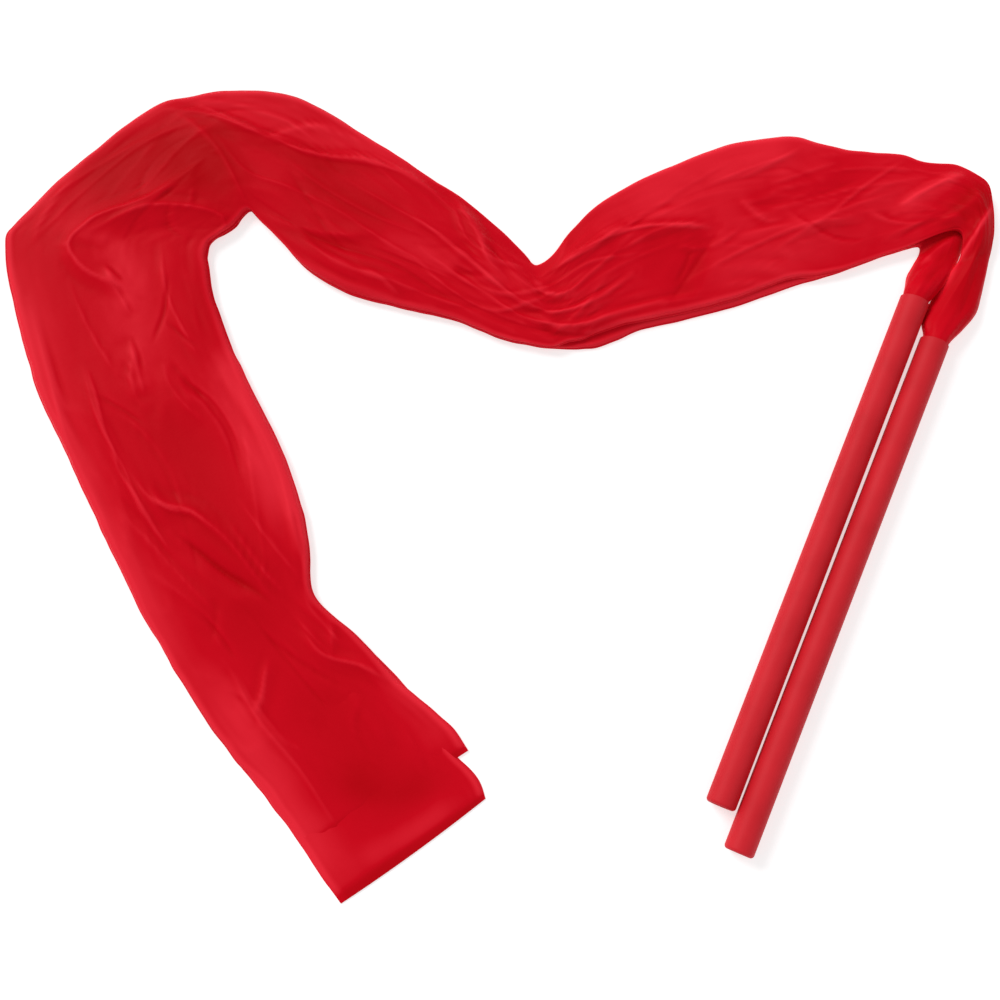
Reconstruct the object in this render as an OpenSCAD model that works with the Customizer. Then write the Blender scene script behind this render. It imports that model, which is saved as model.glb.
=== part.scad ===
// A pair of rhythmic ribbon wands lying flat, their ribbons laid one on the other in a zigzag.
// Frame: +X across the pair, +Y up the layout, +Z up; the origin is centred under the whole pair.
// Each wand is a soft sleeve over a stiff tube. The ribbon's end is gathered over the tube's tip,
// bound with thread and held under the sleeve's mouth.

/* [Grip] */
// Length of the soft grip sleeve
grip_len = 350; // [250:1:360]
// Outside diameter of the soft grip sleeve
grip_d = 19; // [18.5:0.1:19.5]
// Radius of the rounded lip at the sleeve's mouth
lip_r = 0.3; // [0.1:0.05:0.3]
// Radius of the rolled rim at the sleeve's butt end
rim_r = 2.4; // [1.6:0.1:2.4]
// Depth of the wider bore at the mouth, which holds the bound end of the ribbon
mouth_depth = 30; // [30:1:60]

/* [Stiff core] */
// Outside diameter of the core tube
tube_d = 16; // [15.5:0.1:16]
// Wall of the core tube
tube_wall = 1.2; // [0.8:0.1:2]
// Clearance between pieces that sit one inside the other
fit_gap = 0.05; // [0.03:0.01:0.05]
// Length of each plug's stem inside the tube
plug_stem = 20; // [10:1:40]
// Depth of the butt plug's face inside the sleeve's end
butt_recess = 2.5; // [1:0.1:4]
// Thickness of the butt plug's flange
flange_t = 1.5; // [1:0.1:3]

/* [Bound end] */
// Thickness of the gathered cloth around the tube's tip
tail_t = 0.4; // [0.3:0.05:0.4]
// Length of gathered cloth inside the sleeve's mouth
tail_len = 28; // [25:1:28]
// Distance from the sleeve's mouth to the centre of the tip's dome
tip_reach = 2; // [1:0.1:3]
// Diameter of the binding thread
thread_d = 0.3; // [0.2:0.02:0.3]
// Number of turns of binding thread
thread_turns = 10; // [4:1:14]
// Spacing of the turns
thread_pitch = 0.5; // [0.4:0.05:0.8]

/* [Ribbons] */
// Height of each folded ribbon as it lies
ribbon_h = 4; // [2:0.1:4]
// Gap between the lower and the upper ribbon
ribbon_gap = 0.3; // [0.2:0.05:0.6]
// Gap around each neck's round end
knuckle_gap = 0.4; // [0.3:0.05:0.8]
// Radius of the round end of each neck, where it turns beside the ribbon
knuckle_r = 10; // [8:0.5:10]

/* [Layout] */
// Mouth of the left wand's sleeve
left_mouth = [270.5, 115.5]; // [260:0.1:280]
// Direction from the left mouth to its butt, in degrees
left_heading = -112.9; // [-113:0.1:-112.8]
// Mouth of the right wand's sleeve
right_mouth = [281.8, 87.1]; // [86:0.1:284]
// Direction from the right mouth to its butt, in degrees
right_heading = -113.1; // [-113.2:0.1:-113]

/* [Hidden] */

cloth_red = "#c81824";
sleeve_red = "#cf3a40";
core_grey = "#d8d6d0";
thread_red = "#a01018";
$fn = 96;

tube_r = tube_d / 2;
bore_r = tube_r + fit_gap;
tail_r = bore_r + tail_t;
thread_r = tail_r + fit_gap + thread_d / 2;
mouth_r = thread_r + thread_d / 2 + fit_gap;
stem_r = tube_r - tube_wall - fit_gap;
flange_end = grip_len - butt_recess;
tube_end = flange_end - flange_t - fit_gap;
thread_start = mouth_depth / 2 - thread_pitch * (thread_turns - 1) / 2;
upper_z = ribbon_h + ribbon_gap;

// Where each neck turns beside its ribbon: distance past the mouth and sideways shift.
left_knuckle = [36.6, 0];
right_knuckle = [80, -3];

// Neck sections from the stick to the ribbon:
// [distance past the mouth, sideways shift, half width, lowest height, highest height]
left_sections = [
    [12.5, 0, 8.2, 1.3, 17.7],
    [18.5, 0, 9.0, 0.6, 13.5],
    [25.5, 0, 9.5, 0, 8],
    [32.5, 0, 9.8, 0, 4.6],
    [37.5, 0, 9.8, 0, 4]
];
right_sections = [
    [12.5, 0, 8.2, 1.3, 17.7],
    [28, -5.5, 12.5, 0.6, 15],
    [45, -5.5, 12, 1, 11.5],
    [64, -5, 10.5, 2.2, 9.4],
    [80, -3, 9.8, 4.3, 8.3]
];

// Outlines of the two folded ribbons as they lie, from the free end up the left limb, round the
// fold, down the middle limb, round the bend, along the right limb to the corner and back.
lower_outline = [
    [-99, -265], [-128, -224], [-167, -176], [-222, -95], [-262, -18], [-296, 47], [-318, 110],
    [-326, 158], [-298, 197], [-242, 248], [-205, 262], [-165, 265], [-116, 249], [-70, 219],
    [-22, 184], [24, 141], [65, 184], [104, 206], [161, 228], [198, 232], [230, 224], [268, 221],
    [305, 212], [323, 196], [318, 182], [298, 170], [272, 158], [244, 144], [206, 130],
    [169, 118], [130, 106], [91, 97], [63, 87], [31, 85], [2, 91], [-31, 104], [-86, 118],
    [-122, 133], [-142, 152], [-166, 179], [-192, 152], [-183, 115], [-159, 56], [-135, 10],
    [-121, -40], [-112, -76], [-83, -105], [-57, -134], [-26, -164], [-8, -202], [-52, -237]
];
upper_outline = [
    [-122, -230], [-160, -176], [-213, -95], [-254, -18], [-289, 47], [-311, 110], [-321, 157],
    [-294, 192], [-240, 243], [-205, 257], [-165, 260], [-118, 244], [-72, 214], [-24, 178],
    [24, 134], [67, 179], [106, 202], [162, 224], [198, 229], [230, 221], [268, 218],
    [305, 212], [323, 198], [327, 178], [303, 172], [274, 162], [246, 149], [208, 135],
    [171, 123], [132, 112], [93, 103], [63, 93], [31, 91], [4, 97], [-29, 110], [-84, 124],
    [-119, 138], [-139, 157], [-164, 183], [-196, 155], [-189, 115], [-165, 56], [-141, 10],
    [-127, -40], [-118, -78], [-90, -107], [-63, -136], [-36, -160], [-24, -174], [-70, -204]
];

// A point of the smooth curve from b to c, with neighbours a and d, at share t of the way.
function curve_at(a, b, c, d, t) =
    0.5 * (2 * b + (c - a) * t + (2 * a - 5 * b + 4 * c - d) * t * t
        + (3 * b - a - 3 * c + d) * t * t * t);

// A closed smooth outline through the points, with the given number of steps between each two.
function smooth(points, steps) =
    let (n = len(points))
    [for (i = [0 : n - 1], k = [0 : steps - 1])
        curve_at(points[(i + n - 1) % n], points[i], points[(i + 1) % n], points[(i + 2) % n],
            k / steps)];

// The ring of an upright oval section, seen along +X.
function oval(section, sides) =
    [for (k = [0 : sides - 1])
        let (a = 360 * k / sides)
        [section[0], section[1] + section[2] * cos(a),
            (section[3] + section[4]) / 2 + (section[4] - section[3]) / 2 * sin(a)]];

// A closed skin over a row of oval sections.
module skin_over(sections, sides = 32) {
    rows = len(sections);
    polyhedron(
        points = [for (s = sections) each oval(s, sides)],
        faces = concat(
            [[for (k = [0 : sides - 1]) k]],
            [for (i = [0 : rows - 2], k = [0 : sides - 1])
                let (a = i * sides + k, b = i * sides + (k + 1) % sides)
                [a, a + sides, b + sides, b]],
            [[for (k = [sides - 1 : -1 : 0]) (rows - 1) * sides + k]]
        )
    );
}

// Puts a shape drawn along +Z from the mouth to the butt in its lying place.
module lay_stick(mouth, heading) {
    translate([mouth[0], mouth[1], grip_d / 2])
        rotate([0, 0, heading])
            rotate([0, 90, 0])
                children();
}

// Puts a shape drawn along +X past the mouth, away from the butt, in its lying place.
module lay_neck(mouth, heading) {
    translate([mouth[0], mouth[1], 0])
        rotate([0, 0, heading + 180])
            children();
}

// The round end of a neck, or the room cut for it in the ribbon beside it.
module knuckle(centre, r, z, h) {
    translate([centre[0], centre[1], z])
        cylinder(r = r, h = h);
}

// A folded ribbon as a plain slab, with room for the round end of its neck.
module laid_ribbon(outline, z, mouth, heading, centre) {
    color(cloth_red)
        difference() {
            translate([0, 0, z])
                linear_extrude(ribbon_h)
                    polygon(smooth(outline, 3));
            lay_neck(mouth, heading)
                knuckle(centre, knuckle_r + knuckle_gap, z - 1, ribbon_h + 2);
        }
}

// The cloth between a stick and its ribbon, from a round gather to a flat round end.
module gathered_neck(sections, z, mouth, heading, centre) {
    color(cloth_red)
        lay_neck(mouth, heading)
            union() {
                skin_over(sections);
                knuckle(centre, knuckle_r, z, ribbon_h);
            }
}

// The ribbon's end wrapped over the tube and its domed tip.
module ribbon_tail() {
    color(cloth_red)
        union() {
            translate([0, 0, -tip_reach])
                difference() {
                    cylinder(r = tail_r, h = tail_len + tip_reach);
                    translate([0, 0, -1])
                        cylinder(r = bore_r, h = tail_len + tip_reach + 2);
                }
            translate([0, 0, -tip_reach])
                rotate([180, 0, 0])
                    rotate_extrude()
                        difference() {
                            intersection() {
                                circle(r = tail_r);
                                square(tail_r + 1);
                            }
                            circle(r = bore_r);
                        }
        }
}

// Separate turns of thread that bind the ribbon's end to the tube.
module binding_thread() {
    color(thread_red)
        for (i = [0 : thread_turns - 1])
            translate([0, 0, thread_start + i * thread_pitch])
                rotate_extrude()
                    translate([thread_r, 0])
                        circle(d = thread_d, $fn = 24);
}

// The stiff tube that runs the length of the grip.
module core_tube() {
    color(core_grey)
        difference() {
            translate([0, 0, -tip_reach])
                cylinder(r = tube_r, h = tube_end + tip_reach);
            translate([0, 0, -tip_reach - 1])
                cylinder(r = tube_r - tube_wall, h = tube_end + tip_reach + 2);
        }
}

// The domed plug that closes the tube's tip, under the gathered cloth.
module tip_plug() {
    color(core_grey)
        translate([0, 0, -tip_reach])
            union() {
                rotate([180, 0, 0])
                    rotate_extrude()
                        intersection() {
                            circle(r = tube_r);
                            translate([0, fit_gap])
                                square(tube_r + 1);
                        }
                translate([0, 0, -1])
                    cylinder(r = stem_r, h = plug_stem + 1);
            }
}

// The flanged plug that closes the tube's other end, set back inside the sleeve.
module butt_plug() {
    color(core_grey)
        union() {
            translate([0, 0, flange_end - flange_t])
                cylinder(r = tube_r, h = flange_t);
            translate([0, 0, flange_end - flange_t - plug_stem])
                cylinder(r = stem_r, h = plug_stem + flange_t / 2);
        }
}

// A ring with a round section that finishes one end of the sleeve.
module end_ring(z, section_r) {
    translate([0, 0, z])
        rotate_extrude()
            translate([grip_d / 2 - section_r, 0])
                circle(r = section_r, $fn = 48);
}

// The soft sleeve: a straight wall, a wider bore at the mouth, and a rim rolled over the butt plug.
module grip_sleeve() {
    outer_r = grip_d / 2;
    color(sleeve_red)
        difference() {
            union() {
                difference() {
                    union() {
                        translate([0, 0, lip_r])
                            cylinder(r = outer_r, h = grip_len - lip_r - rim_r);
                        cylinder(r = outer_r - lip_r, h = mouth_depth);
                    }
                    translate([0, 0, -1])
                        cylinder(r = bore_r, h = grip_len + 2);
                }
                end_ring(lip_r, lip_r);
                end_ring(grip_len - rim_r, rim_r);
            }
            translate([0, 0, -1])
                cylinder(r = mouth_r, h = mouth_depth + 1);
            translate([0, 0, -1])
                cylinder(r = bore_r, h = flange_end + fit_gap + 1);
        }
}

module left_ribbon() {
    laid_ribbon(lower_outline, 0, left_mouth, left_heading, left_knuckle);
}

module left_ribbon_neck() {
    gathered_neck(left_sections, 0, left_mouth, left_heading, left_knuckle);
}

module left_ribbon_tail() {
    lay_stick(left_mouth, left_heading) ribbon_tail();
}

module left_binding_thread() {
    lay_stick(left_mouth, left_heading) binding_thread();
}

module left_core_tube() {
    lay_stick(left_mouth, left_heading) core_tube();
}

module left_tip_plug() {
    lay_stick(left_mouth, left_heading) tip_plug();
}

module left_butt_plug() {
    lay_stick(left_mouth, left_heading) butt_plug();
}

module left_grip_sleeve() {
    lay_stick(left_mouth, left_heading) grip_sleeve();
}

module right_ribbon() {
    laid_ribbon(upper_outline, upper_z, right_mouth, right_heading, right_knuckle);
}

module right_ribbon_neck() {
    gathered_neck(right_sections, upper_z, right_mouth, right_heading, right_knuckle);
}

module right_ribbon_tail() {
    lay_stick(right_mouth, right_heading) ribbon_tail();
}

module right_binding_thread() {
    lay_stick(right_mouth, right_heading) binding_thread();
}

module right_core_tube() {
    lay_stick(right_mouth, right_heading) core_tube();
}

module right_tip_plug() {
    lay_stick(right_mouth, right_heading) tip_plug();
}

module right_butt_plug() {
    lay_stick(right_mouth, right_heading) butt_plug();
}

module right_grip_sleeve() {
    lay_stick(right_mouth, right_heading) grip_sleeve();
}

left_ribbon();
left_ribbon_neck();
left_ribbon_tail();
left_binding_thread();
left_core_tube();
left_tip_plug();
left_butt_plug();
left_grip_sleeve();
right_ribbon();
right_ribbon_neck();
right_ribbon_tail();
right_binding_thread();
right_core_tube();
right_tip_plug();
right_butt_plug();
right_grip_sleeve();
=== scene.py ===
import math

import bpy
import numpy as np
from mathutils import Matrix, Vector


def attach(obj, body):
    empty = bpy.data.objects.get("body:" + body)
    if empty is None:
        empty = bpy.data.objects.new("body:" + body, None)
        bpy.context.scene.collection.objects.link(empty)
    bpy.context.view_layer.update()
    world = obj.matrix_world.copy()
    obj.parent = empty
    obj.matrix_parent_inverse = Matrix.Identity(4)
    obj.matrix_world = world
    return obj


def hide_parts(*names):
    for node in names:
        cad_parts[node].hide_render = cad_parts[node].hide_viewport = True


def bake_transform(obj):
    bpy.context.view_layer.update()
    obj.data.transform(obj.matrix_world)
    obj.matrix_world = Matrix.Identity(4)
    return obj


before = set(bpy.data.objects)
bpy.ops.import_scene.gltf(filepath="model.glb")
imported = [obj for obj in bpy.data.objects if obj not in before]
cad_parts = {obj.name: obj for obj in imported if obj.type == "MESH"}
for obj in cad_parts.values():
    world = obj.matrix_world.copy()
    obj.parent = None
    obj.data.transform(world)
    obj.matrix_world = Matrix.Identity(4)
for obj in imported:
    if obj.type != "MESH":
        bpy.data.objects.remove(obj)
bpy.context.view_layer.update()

MM = 0.001

# The grids of silk, from the free end to inside the sleeve.
COLS = 40  # columns across the simulated top layer
ROWS = 370  # rows along it
FINE_ROWS = 2  # how many times more rows the shown silk has
FINE_COLS = 3  # and how many times more columns
ROLL_COLS = 7  # columns round each rolled edge
FLAP_COLS = 7  # columns across each flap
FLAP_SHARE = 0.46  # how far each edge is tucked under, as a share of the band's width
LAID_LENGTH = 1120  # about how long each ribbon's path is, in mm

# The shape of the silk, first what differs between the lower and the upper ribbon.
RELIEF = (0.5, 1.0)  # strength of the random relief
LOOSE_CREASES = (30, 90)  # how many small loose creases there are
END_BOW = (1.2, 0.5)  # how far the free end bows outward, in mm
SEEDS = (31, 11)  # of the relief
PLEAT_SEEDS = (8, 3)
FOLD_HEIGHT = 1.35  # how many times their heights in FOLDS the folds start with
RIDGES = ((0.9, 120, 17), (0.35, 46, 9))  # its ridges' height, length and spacing, in mm
SWELL = (0.9, 60, 40)  # its soft swell's height, length and width, in mm
MEANDER = (14, 90, 50)  # how far the ridges wander sideways, and over what length and width, in mm
LINE_ROOM = 8  # how far a rounded line can leave the box round its points, in mm
END_FADE = 14  # how far from the free end its bow reaches, in mm
CALM_END = (-10, 60)  # between which distances from the free end the relief grows in, in mm
EDGE_ROOM = 1.6  # how far the top layer's edges are moved in, in mm, to leave room for the rolls
EDGE_WANDER = ((0.9, 27, 41), (0.35, 9, 42))  # size and wavelength in mm, and seed
EDGE_REACH = 20  # how far into the band the edge's wandering is felt, in mm
EDGE_RISE = 6  # how quickly the layer rises from its edges, in mm
EDGE_HEIGHT = 0.3  # how high the edges lie, as a share of the ribbon's thickness
LEAST_TOP = 0.5  # least height of the top layer over the ribbon's underside, in mm
LEAST_SUPPORT = 0.3  # the same for what is under it while it settles, in mm
EDGE_LIFT = (0.22, 38)  # how far the edges lift here and there, and over what length, in mm
FLAP_LIFT = 0.2  # how uneven the flaps are, in mm
LEAST_ROLL = 0.4  # least height of a rolled edge, in mm
ROLL_DEPTH = 0.9  # how far a rolled edge stands out, as a share of its radius
PLEAT = 0.03  # depth of the gathered pleats, as a share of the gather's radius
GATHER_TURN = math.radians(88)  # how far each flap goes round the gather's underside
CRISP_SHARE = 0.24  # height of the crisp line along each fold, as a share of the fold's
CRISP_WIDTHS = (1.8, 2.8)  # its widths to the left and the right, in mm

# The silk's painted shading, as a tone from 0 (deep, painted shade) to 1 (light, painted
# highlight).
BASE_TONE = 0.42
RELIEF_SHADING = 0.5  # painted highlight and shade: how much lighter each mm of height over its surroundings makes it, and how much deeper each mm below
RELIEF_MOST = 0.7  # the height or depth that counts at most, in mm
RELIEF_PASSES = 10  # passes of averaging that give the height of the surroundings
PLACED_SHADING = 0.5  # strength of the placed painted shade and highlight
EDGE_HIGHLIGHT = 0.3  # painted highlight: how much lighter the rolled edges are made

# The settling.
SLACK = 1.045  # spare width that the silk wrinkles with
TAUT = 0.985  # how much shorter the silk is cut along its length, which pulls it smooth
SETTLE_FRAMES = 10  # how long it settles
SMOOTHING = 14  # passes along the band that take short crosswise ripples out of the settling
SUPPORT_DROP = 0.9  # how far the folds under the top layer lie below it before it settles, in mm
CONTACT = 0.0004  # the gap that Cloth keeps, in m
FRICTION = 12
GRAVITY = 0.25  # as a share of the full pull, so that the silk stays light on its folds

# Each wand: the mouth and the direction from mouth to butt, as in the CAD, in mm.
WANDS = {
    "left": {"mouth": (270.5, 115.5), "heading": math.radians(-112.9)},
    "right": {"mouth": (281.8, 87.1), "heading": math.radians(-113.1)},
}

# Stations along each ribbon, from the free end to inside the sleeve, in mm:
# outer edge x, y, inner edge x, y, height of the underside, thickness, and how round the
# gathered section is, from 0 (laid flat) to 1.
LOWER = [
    (-98, -266, -8, -202, 0.3, 0.9, 0),
    (-113, -246, -14, -188.5, 0.3, 1, 0),
    (-128, -224, -27, -176, 0.3, 1.2, 0),
    (-147, -201, -45, -151, 0.3, 1.8, 0),
    (-167, -176, -57, -134, 0.3, 2.8, 0),
    (-195, -138, -85, -106, 0.3, 3.4, 0),
    (-222, -95, -116, -76, 0.3, 3.6, 0),
    (-243, -55, -121, -42, 0.3, 3.6, 0),
    (-262, -18, -133, 2, 0.3, 3.6, 0),
    (-280, 17, -146, 30, 0.3, 3.6, 0),
    (-296, 47, -159, 56, 0.3, 3.6, 0),
    (-310, 85, -175, 88, 0.3, 3.6, 0),
    (-320, 120, -187, 118, 0.3, 3.6, 0),
    (-325, 141, -191, 139, 0.3, 3.6, 0),
    (-327.6, 157, -192.5, 148, 0.3, 3.6, 0),
    (-327.2, 162, -192, 152, 0.3, 3.6, 0),
    (-323.5, 166.5, -191.5, 155, 0.3, 3.6, 0),
    (-313, 179, -188, 160, 0.3, 3.6, 0),
    (-297, 197, -181, 164, 0.3, 3.6, 0),
    (-270, 223, -174, 169, 0.3, 3.6, 0),
    (-242, 248, -170, 175, 0.3, 3.6, 0),
    (-225, 258, -166, 179, 0.3, 3.6, 0),
    (-208, 261, -163, 178, 0.3, 3.6, 0),
    (-188, 264, -155, 169, 0.3, 3.6, 0),
    (-165, 265, -144, 157, 0.3, 3.6, 0),
    (-141, 262, -127, 139, 0.3, 3.6, 0),
    (-116, 249, -99, 122, 0.3, 3.6, 0),
    (-93, 234, -75, 115, 0.3, 3.6, 0),
    (-70, 219, -50, 109, 0.3, 3.6, 0),
    (-46, 202, -24, 101, 0.3, 3.6, 0),
    (-22, 184, 2, 91, 0.3, 3.6, 0),
    (0, 164, 18, 87, 0.3, 3.8, 0),
    (14, 149, 28, 85, 0.3, 4.2, 0),
    (22, 141, 36, 84.5, 0.3, 4.4, 0),
    (32, 145, 45, 84, 0.3, 4.4, 0),
    (48, 166, 55, 84.5, 0.3, 4.2, 0),
    (65, 184, 64, 85.5, 0.3, 4, 0),
    (84, 196, 78, 91, 0.3, 3.8, 0),
    (104, 206, 91, 97, 0.3, 3.6, 0),
    (133, 218, 115, 102.5, 0.3, 3.6, 0),
    (161, 228, 137, 108, 0.3, 3.6, 0),
    (180, 231, 153, 112.5, 0.3, 3.6, 0),
    (198, 232, 169, 118, 0.3, 3.6, 0),
    (214, 227, 187, 124.5, 0.3, 3.6, 0),
    (230, 223, 206, 131, 0.3, 3.6, 0),
    (249, 221, 225, 137, 0.3, 3.6, 0),
    (268, 219, 244, 144, 0.3, 3.6, 0),
    (286, 213, 262, 151, 0.3, 3.6, 0),
    (301, 206, 274, 154.5, 0.3, 3.8, 0),
    (312, 194, 277.5, 154, 0.3, 4.2, 0),
    (315, 180, 277, 150, 0.4, 5, 0),
    (311, 164, 273.5, 143.5, 0.4, 6.6, 0.05),
    (304, 149, 270.5, 138, 0.4, 8.6, 0.2),
    (296, 134, 267.8, 132.5, 0.6, 13.2, 0.5),
    (285.5, 120.5, 265, 125.2, 0.9, 16.8, 0.9),
    (278.2, 112.3, 262.8, 118.7, 1.15, 16.7, 1),
    (273.5, 101.2, 258.1, 107.7, 1.15, 16.7, 1),
    (267.3, 86.5, 251.9, 93, 1.15, 16.7, 1),
]
UPPER = [
    (-119, -235, -19, -173, 1.15, 0.6, 0),
    (-133, -216, -28.5, -159, 1.2, 0.7, 0),
    (-148.5, -196, -41, -147.5, 1.4, 0.9, 0),
    (-165.6, -178.9, -57, -134, 1.8, 1.3, 0),
    (-194.2, -140.3, -85.1, -105, 3, 2.4, 0),
    (-221.5, -97.2, -115.5, -75.5, 4, 3.2, 0),
    (-243, -56.6, -120.5, -41.1, 4.5, 3.6, 0),
    (-262, -19.5, -132.9, 3.4, 4.6, 3.8, 0),
    (-280, 15.5, -146, 31.5, 4.6, 3.8, 0),
    (-296, 45.4, -159, 57.5, 4.6, 3.8, 0),
    (-310.3, 83.8, -174.6, 88.9, 4.6, 3.8, 0),
    (-320.4, 119, -186.3, 118.3, 4.6, 3.8, 0),
    (-326, 142.5, -190.2, 138.4, 4.6, 3.8, 0),
    (-328, 158, -191.7, 148, 4.6, 3.8, 0),
    (-327.6, 163, -191.3, 151, 4.6, 3.8, 0),
    (-324, 167.5, -190.6, 153.5, 4.6, 3.8, 0),
    (-313.7, 179.3, -189.5, 156.6, 4.6, 3.8, 0),
    (-297.6, 197.3, -183.2, 161.9, 4.6, 3.8, 0),
    (-270.3, 223.6, -176.3, 166.5, 4.6, 3.8, 0),
    (-241.7, 249, -171.3, 171.8, 4.6, 3.8, 0),
    (-224.5, 258.8, -167.5, 176.5, 4.6, 3.8, 0),
    (-208.3, 261.7, -163.5, 177.4, 4.6, 3.8, 0),
    (-188.3, 264.7, -156.1, 169.2, 4.6, 3.8, 0),
    (-164.8, 265.7, -144.6, 156.6, 4.6, 3.8, 0),
    (-140.3, 262.4, -126.8, 138.1, 4.6, 3.8, 0),
    (-115.4, 249.4, -98.8, 121.2, 4.6, 3.8, 0),
    (-92.4, 234.4, -75.7, 114.5, 4.6, 3.8, 0),
    (-69.3, 219.4, -50.6, 108.4, 4.6, 3.8, 0),
    (-45.3, 202.3, -24.8, 100.5, 4.6, 3.8, 0),
    (-21.1, 184.1, 0.2, 90.9, 4.6, 3.8, 0),
    (1, 163.9, 15.5, 86.9, 4.6, 4, 0),
    (15.5, 148.5, 26.5, 84.6, 4.6, 4.4, 0),
    (21.9, 141.7, 34.8, 83.9, 4.6, 4.6, 0),
    (31.7, 145.6, 43, 87, 4.6, 4.6, 0),
    (46.8, 165.6, 53, 89, 4.6, 4.4, 0),
    (64, 183.9, 64, 93, 4.6, 4.2, 0),
    (83.4, 196.5, 77, 98, 4.6, 4, 0),
    (103.9, 206.7, 91, 101.5, 4.6, 3.8, 0),
    (132, 218.4, 114, 106, 4.6, 3.8, 0),
    (160.1, 228.4, 138, 111.5, 4.6, 3.8, 0),
    (179.7, 231.7, 154, 116.5, 4.6, 3.8, 0),
    (198.8, 232.5, 170, 122.5, 4.6, 3.8, 0),
    (214.4, 227.6, 188, 129.5, 4.6, 3.8, 0),
    (230.2, 223.7, 207, 132.5, 4.6, 3.8, 0),
    (249.1, 221.7, 225.6, 136.5, 4.6, 3.8, 0),
    (268, 219.7, 244.2, 143.3, 4.8, 3.9, 0),
    (285.9, 213.8, 261, 149.9, 5.4, 4.2, 0),
    (304, 212, 276, 156, 6.2, 4.8, 0),
    (316, 204.5, 289, 161, 7, 5.4, 0),
    (323.5, 197, 299, 163, 7.4, 5.8, 0),
    (325.3, 184, 303.5, 160, 7.2, 6, 0),
    (326, 169, 303.5, 153, 6.4, 6.2, 0),
    (324.8, 153, 301, 143, 5.2, 6.8, 0),
    (320, 136, 293.5, 133.5, 4.2, 8.2, 0.1),
    (315, 121, 286.5, 122, 3, 10.4, 0.25),
    (310.5, 107.5, 279, 110.3, 1.8, 13, 0.5),
    (300.5, 95.5, 274.7, 99.8, 1.2, 15.6, 0.85),
    (291.5, 86.5, 274.9, 92, 1.15, 16.7, 1),
    (284.8, 72.8, 269.4, 79.4, 1.15, 16.7, 1),
    (278.5, 58, 263.1, 64.6, 1.15, 16.7, 1),
]

# Folds on the top layer: height in mm (negative for a crease), width left of the line,
# width right of it, and the line itself in mm.
FOLDS = [
    # middle limb
    (2.6, 5, 26, [(-224, 250), (-198, 246), (-159, 230), (-120, 216),
                  (-88, 212), (-60, 200), (-40, 188)]),
    (1.6, 10, 14, [(-207, 255), (-185, 244), (-153, 229)]),
    (2.0, 14, 20, [(-189, 230), (-167, 204), (-141, 194), (-109, 178), (-70, 152), (-30, 132)]),
    (-2.0, 9, 9, [(-164, 187), (-119, 158), (-66, 138), (-35, 118), (-10, 106)]),
    (2.2, 6, 10, [(-33, 191), (-23, 174), (-14, 158), (-8, 142), (6, 128)]),
    (1.8, 12, 12, [(-140, 172), (-110, 143), (-70, 128), (-30, 113), (8, 102)]),
    (2.2, 14, 9, [(-112, 205), (-72, 180), (-40, 160), (-8, 132), (14, 112)]),
    (1.6, 8, 12, [(-86, 218), (-52, 196), (-22, 168), (2, 146)]),
    # bend
    (2.6, 6, 9, [(-60, 176), (-20, 141), (8, 118), (32, 107), (58, 113), (86, 132)]),
    (2.6, 5, 8, [(-52, 150), (-10, 120), (20, 102), (46, 98), (76, 106), (106, 116)]),
    (-1.8, 4, 5, [(-36, 122), (4, 102), (34, 94), (62, 93), (92, 104)]),
    (2.4, 7, 6, [(-34, 172), (2, 140), (22, 122), (38, 118), (60, 134), (84, 156)]),
    # right limb
    (1.6, 14, 18, [(136, 195), (173, 209), (201, 219)]),
    (1.2, 10, 14, [(177, 195), (226, 212)]),
    (2.4, 20, 9, [(75, 147), (111, 165), (141, 165)]),
    (-1.3, 14, 12, [(109, 112), (143, 163)]),
    (2.4, 9, 14, [(83, 167), (60, 150), (35, 136)]),
    (-1.8, 6, 8, [(5, 107), (42, 110), (70, 125), (85, 136)]),
    (1.6, 16, 14, [(120, 128), (160, 150), (205, 168), (240, 172)]),
    (1.4, 14, 16, [(180, 150), (222, 176), (262, 190)]),
    (-1.2, 10, 10, [(160, 180), (204, 186), (244, 202)]),
    (2.2, 12, 6, [(307, 202), (284, 192), (262, 179)]),
    # turn
    (2.6, 20, 10, [(-197, 213), (-231, 186), (-273, 167), (-283, 154), (-277, 142), (-242, 123)]),
    (1.7, 13, 22, [(-222, 251), (-197, 231), (-183, 213), (-172, 192), (-164, 177)]),
    (2.0, 8, 14, [(-270, 163), (-225, 181), (-181, 169), (-193, 152)]),
    # left limb
    (1.8, 10, 10, [(-259, 140), (-239, 106)]),
    (2.0, 12, 8, [(-223, 157), (-218, 123), (-194, 75)]),
    (2.0, 10, 14, [(-240, 89), (-228, 50)]),
    (2.4, 18, 12, [(-270, 72), (-257, 35), (-239, 3), (-222, -30), (-205, -52)]),
    (2.0, 9, 14, [(-240, 7), (-216, -19), (-197, -23), (-178, -37), (-140, -83)]),
    (-2.0, 9, 9, [(-212, 73), (-176, 29), (-162, -10)]),
    (-1.8, 9, 9, [(-201, -42), (-168, -67), (-149, -79)]),
    (1.8, 16, 6, [(-171, 62), (-140, 3), (-128, -43), (-120, -68)]),
    (1.5, 6, 14, [(-308, 116), (-288, 55), (-268, -4), (-240, -56)]),
    (1.8, 7, 9, [(-126, -95), (-112, -113), (-85, -122), (-68, -131)]),
    (-1.8, 20, 20, [(-163, -81), (-111, -143), (-61, -190)]),
    (1.8, 12, 16, [(-168, -124), (-152, -151), (-121, -188), (-98, -223)]),
]
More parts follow.
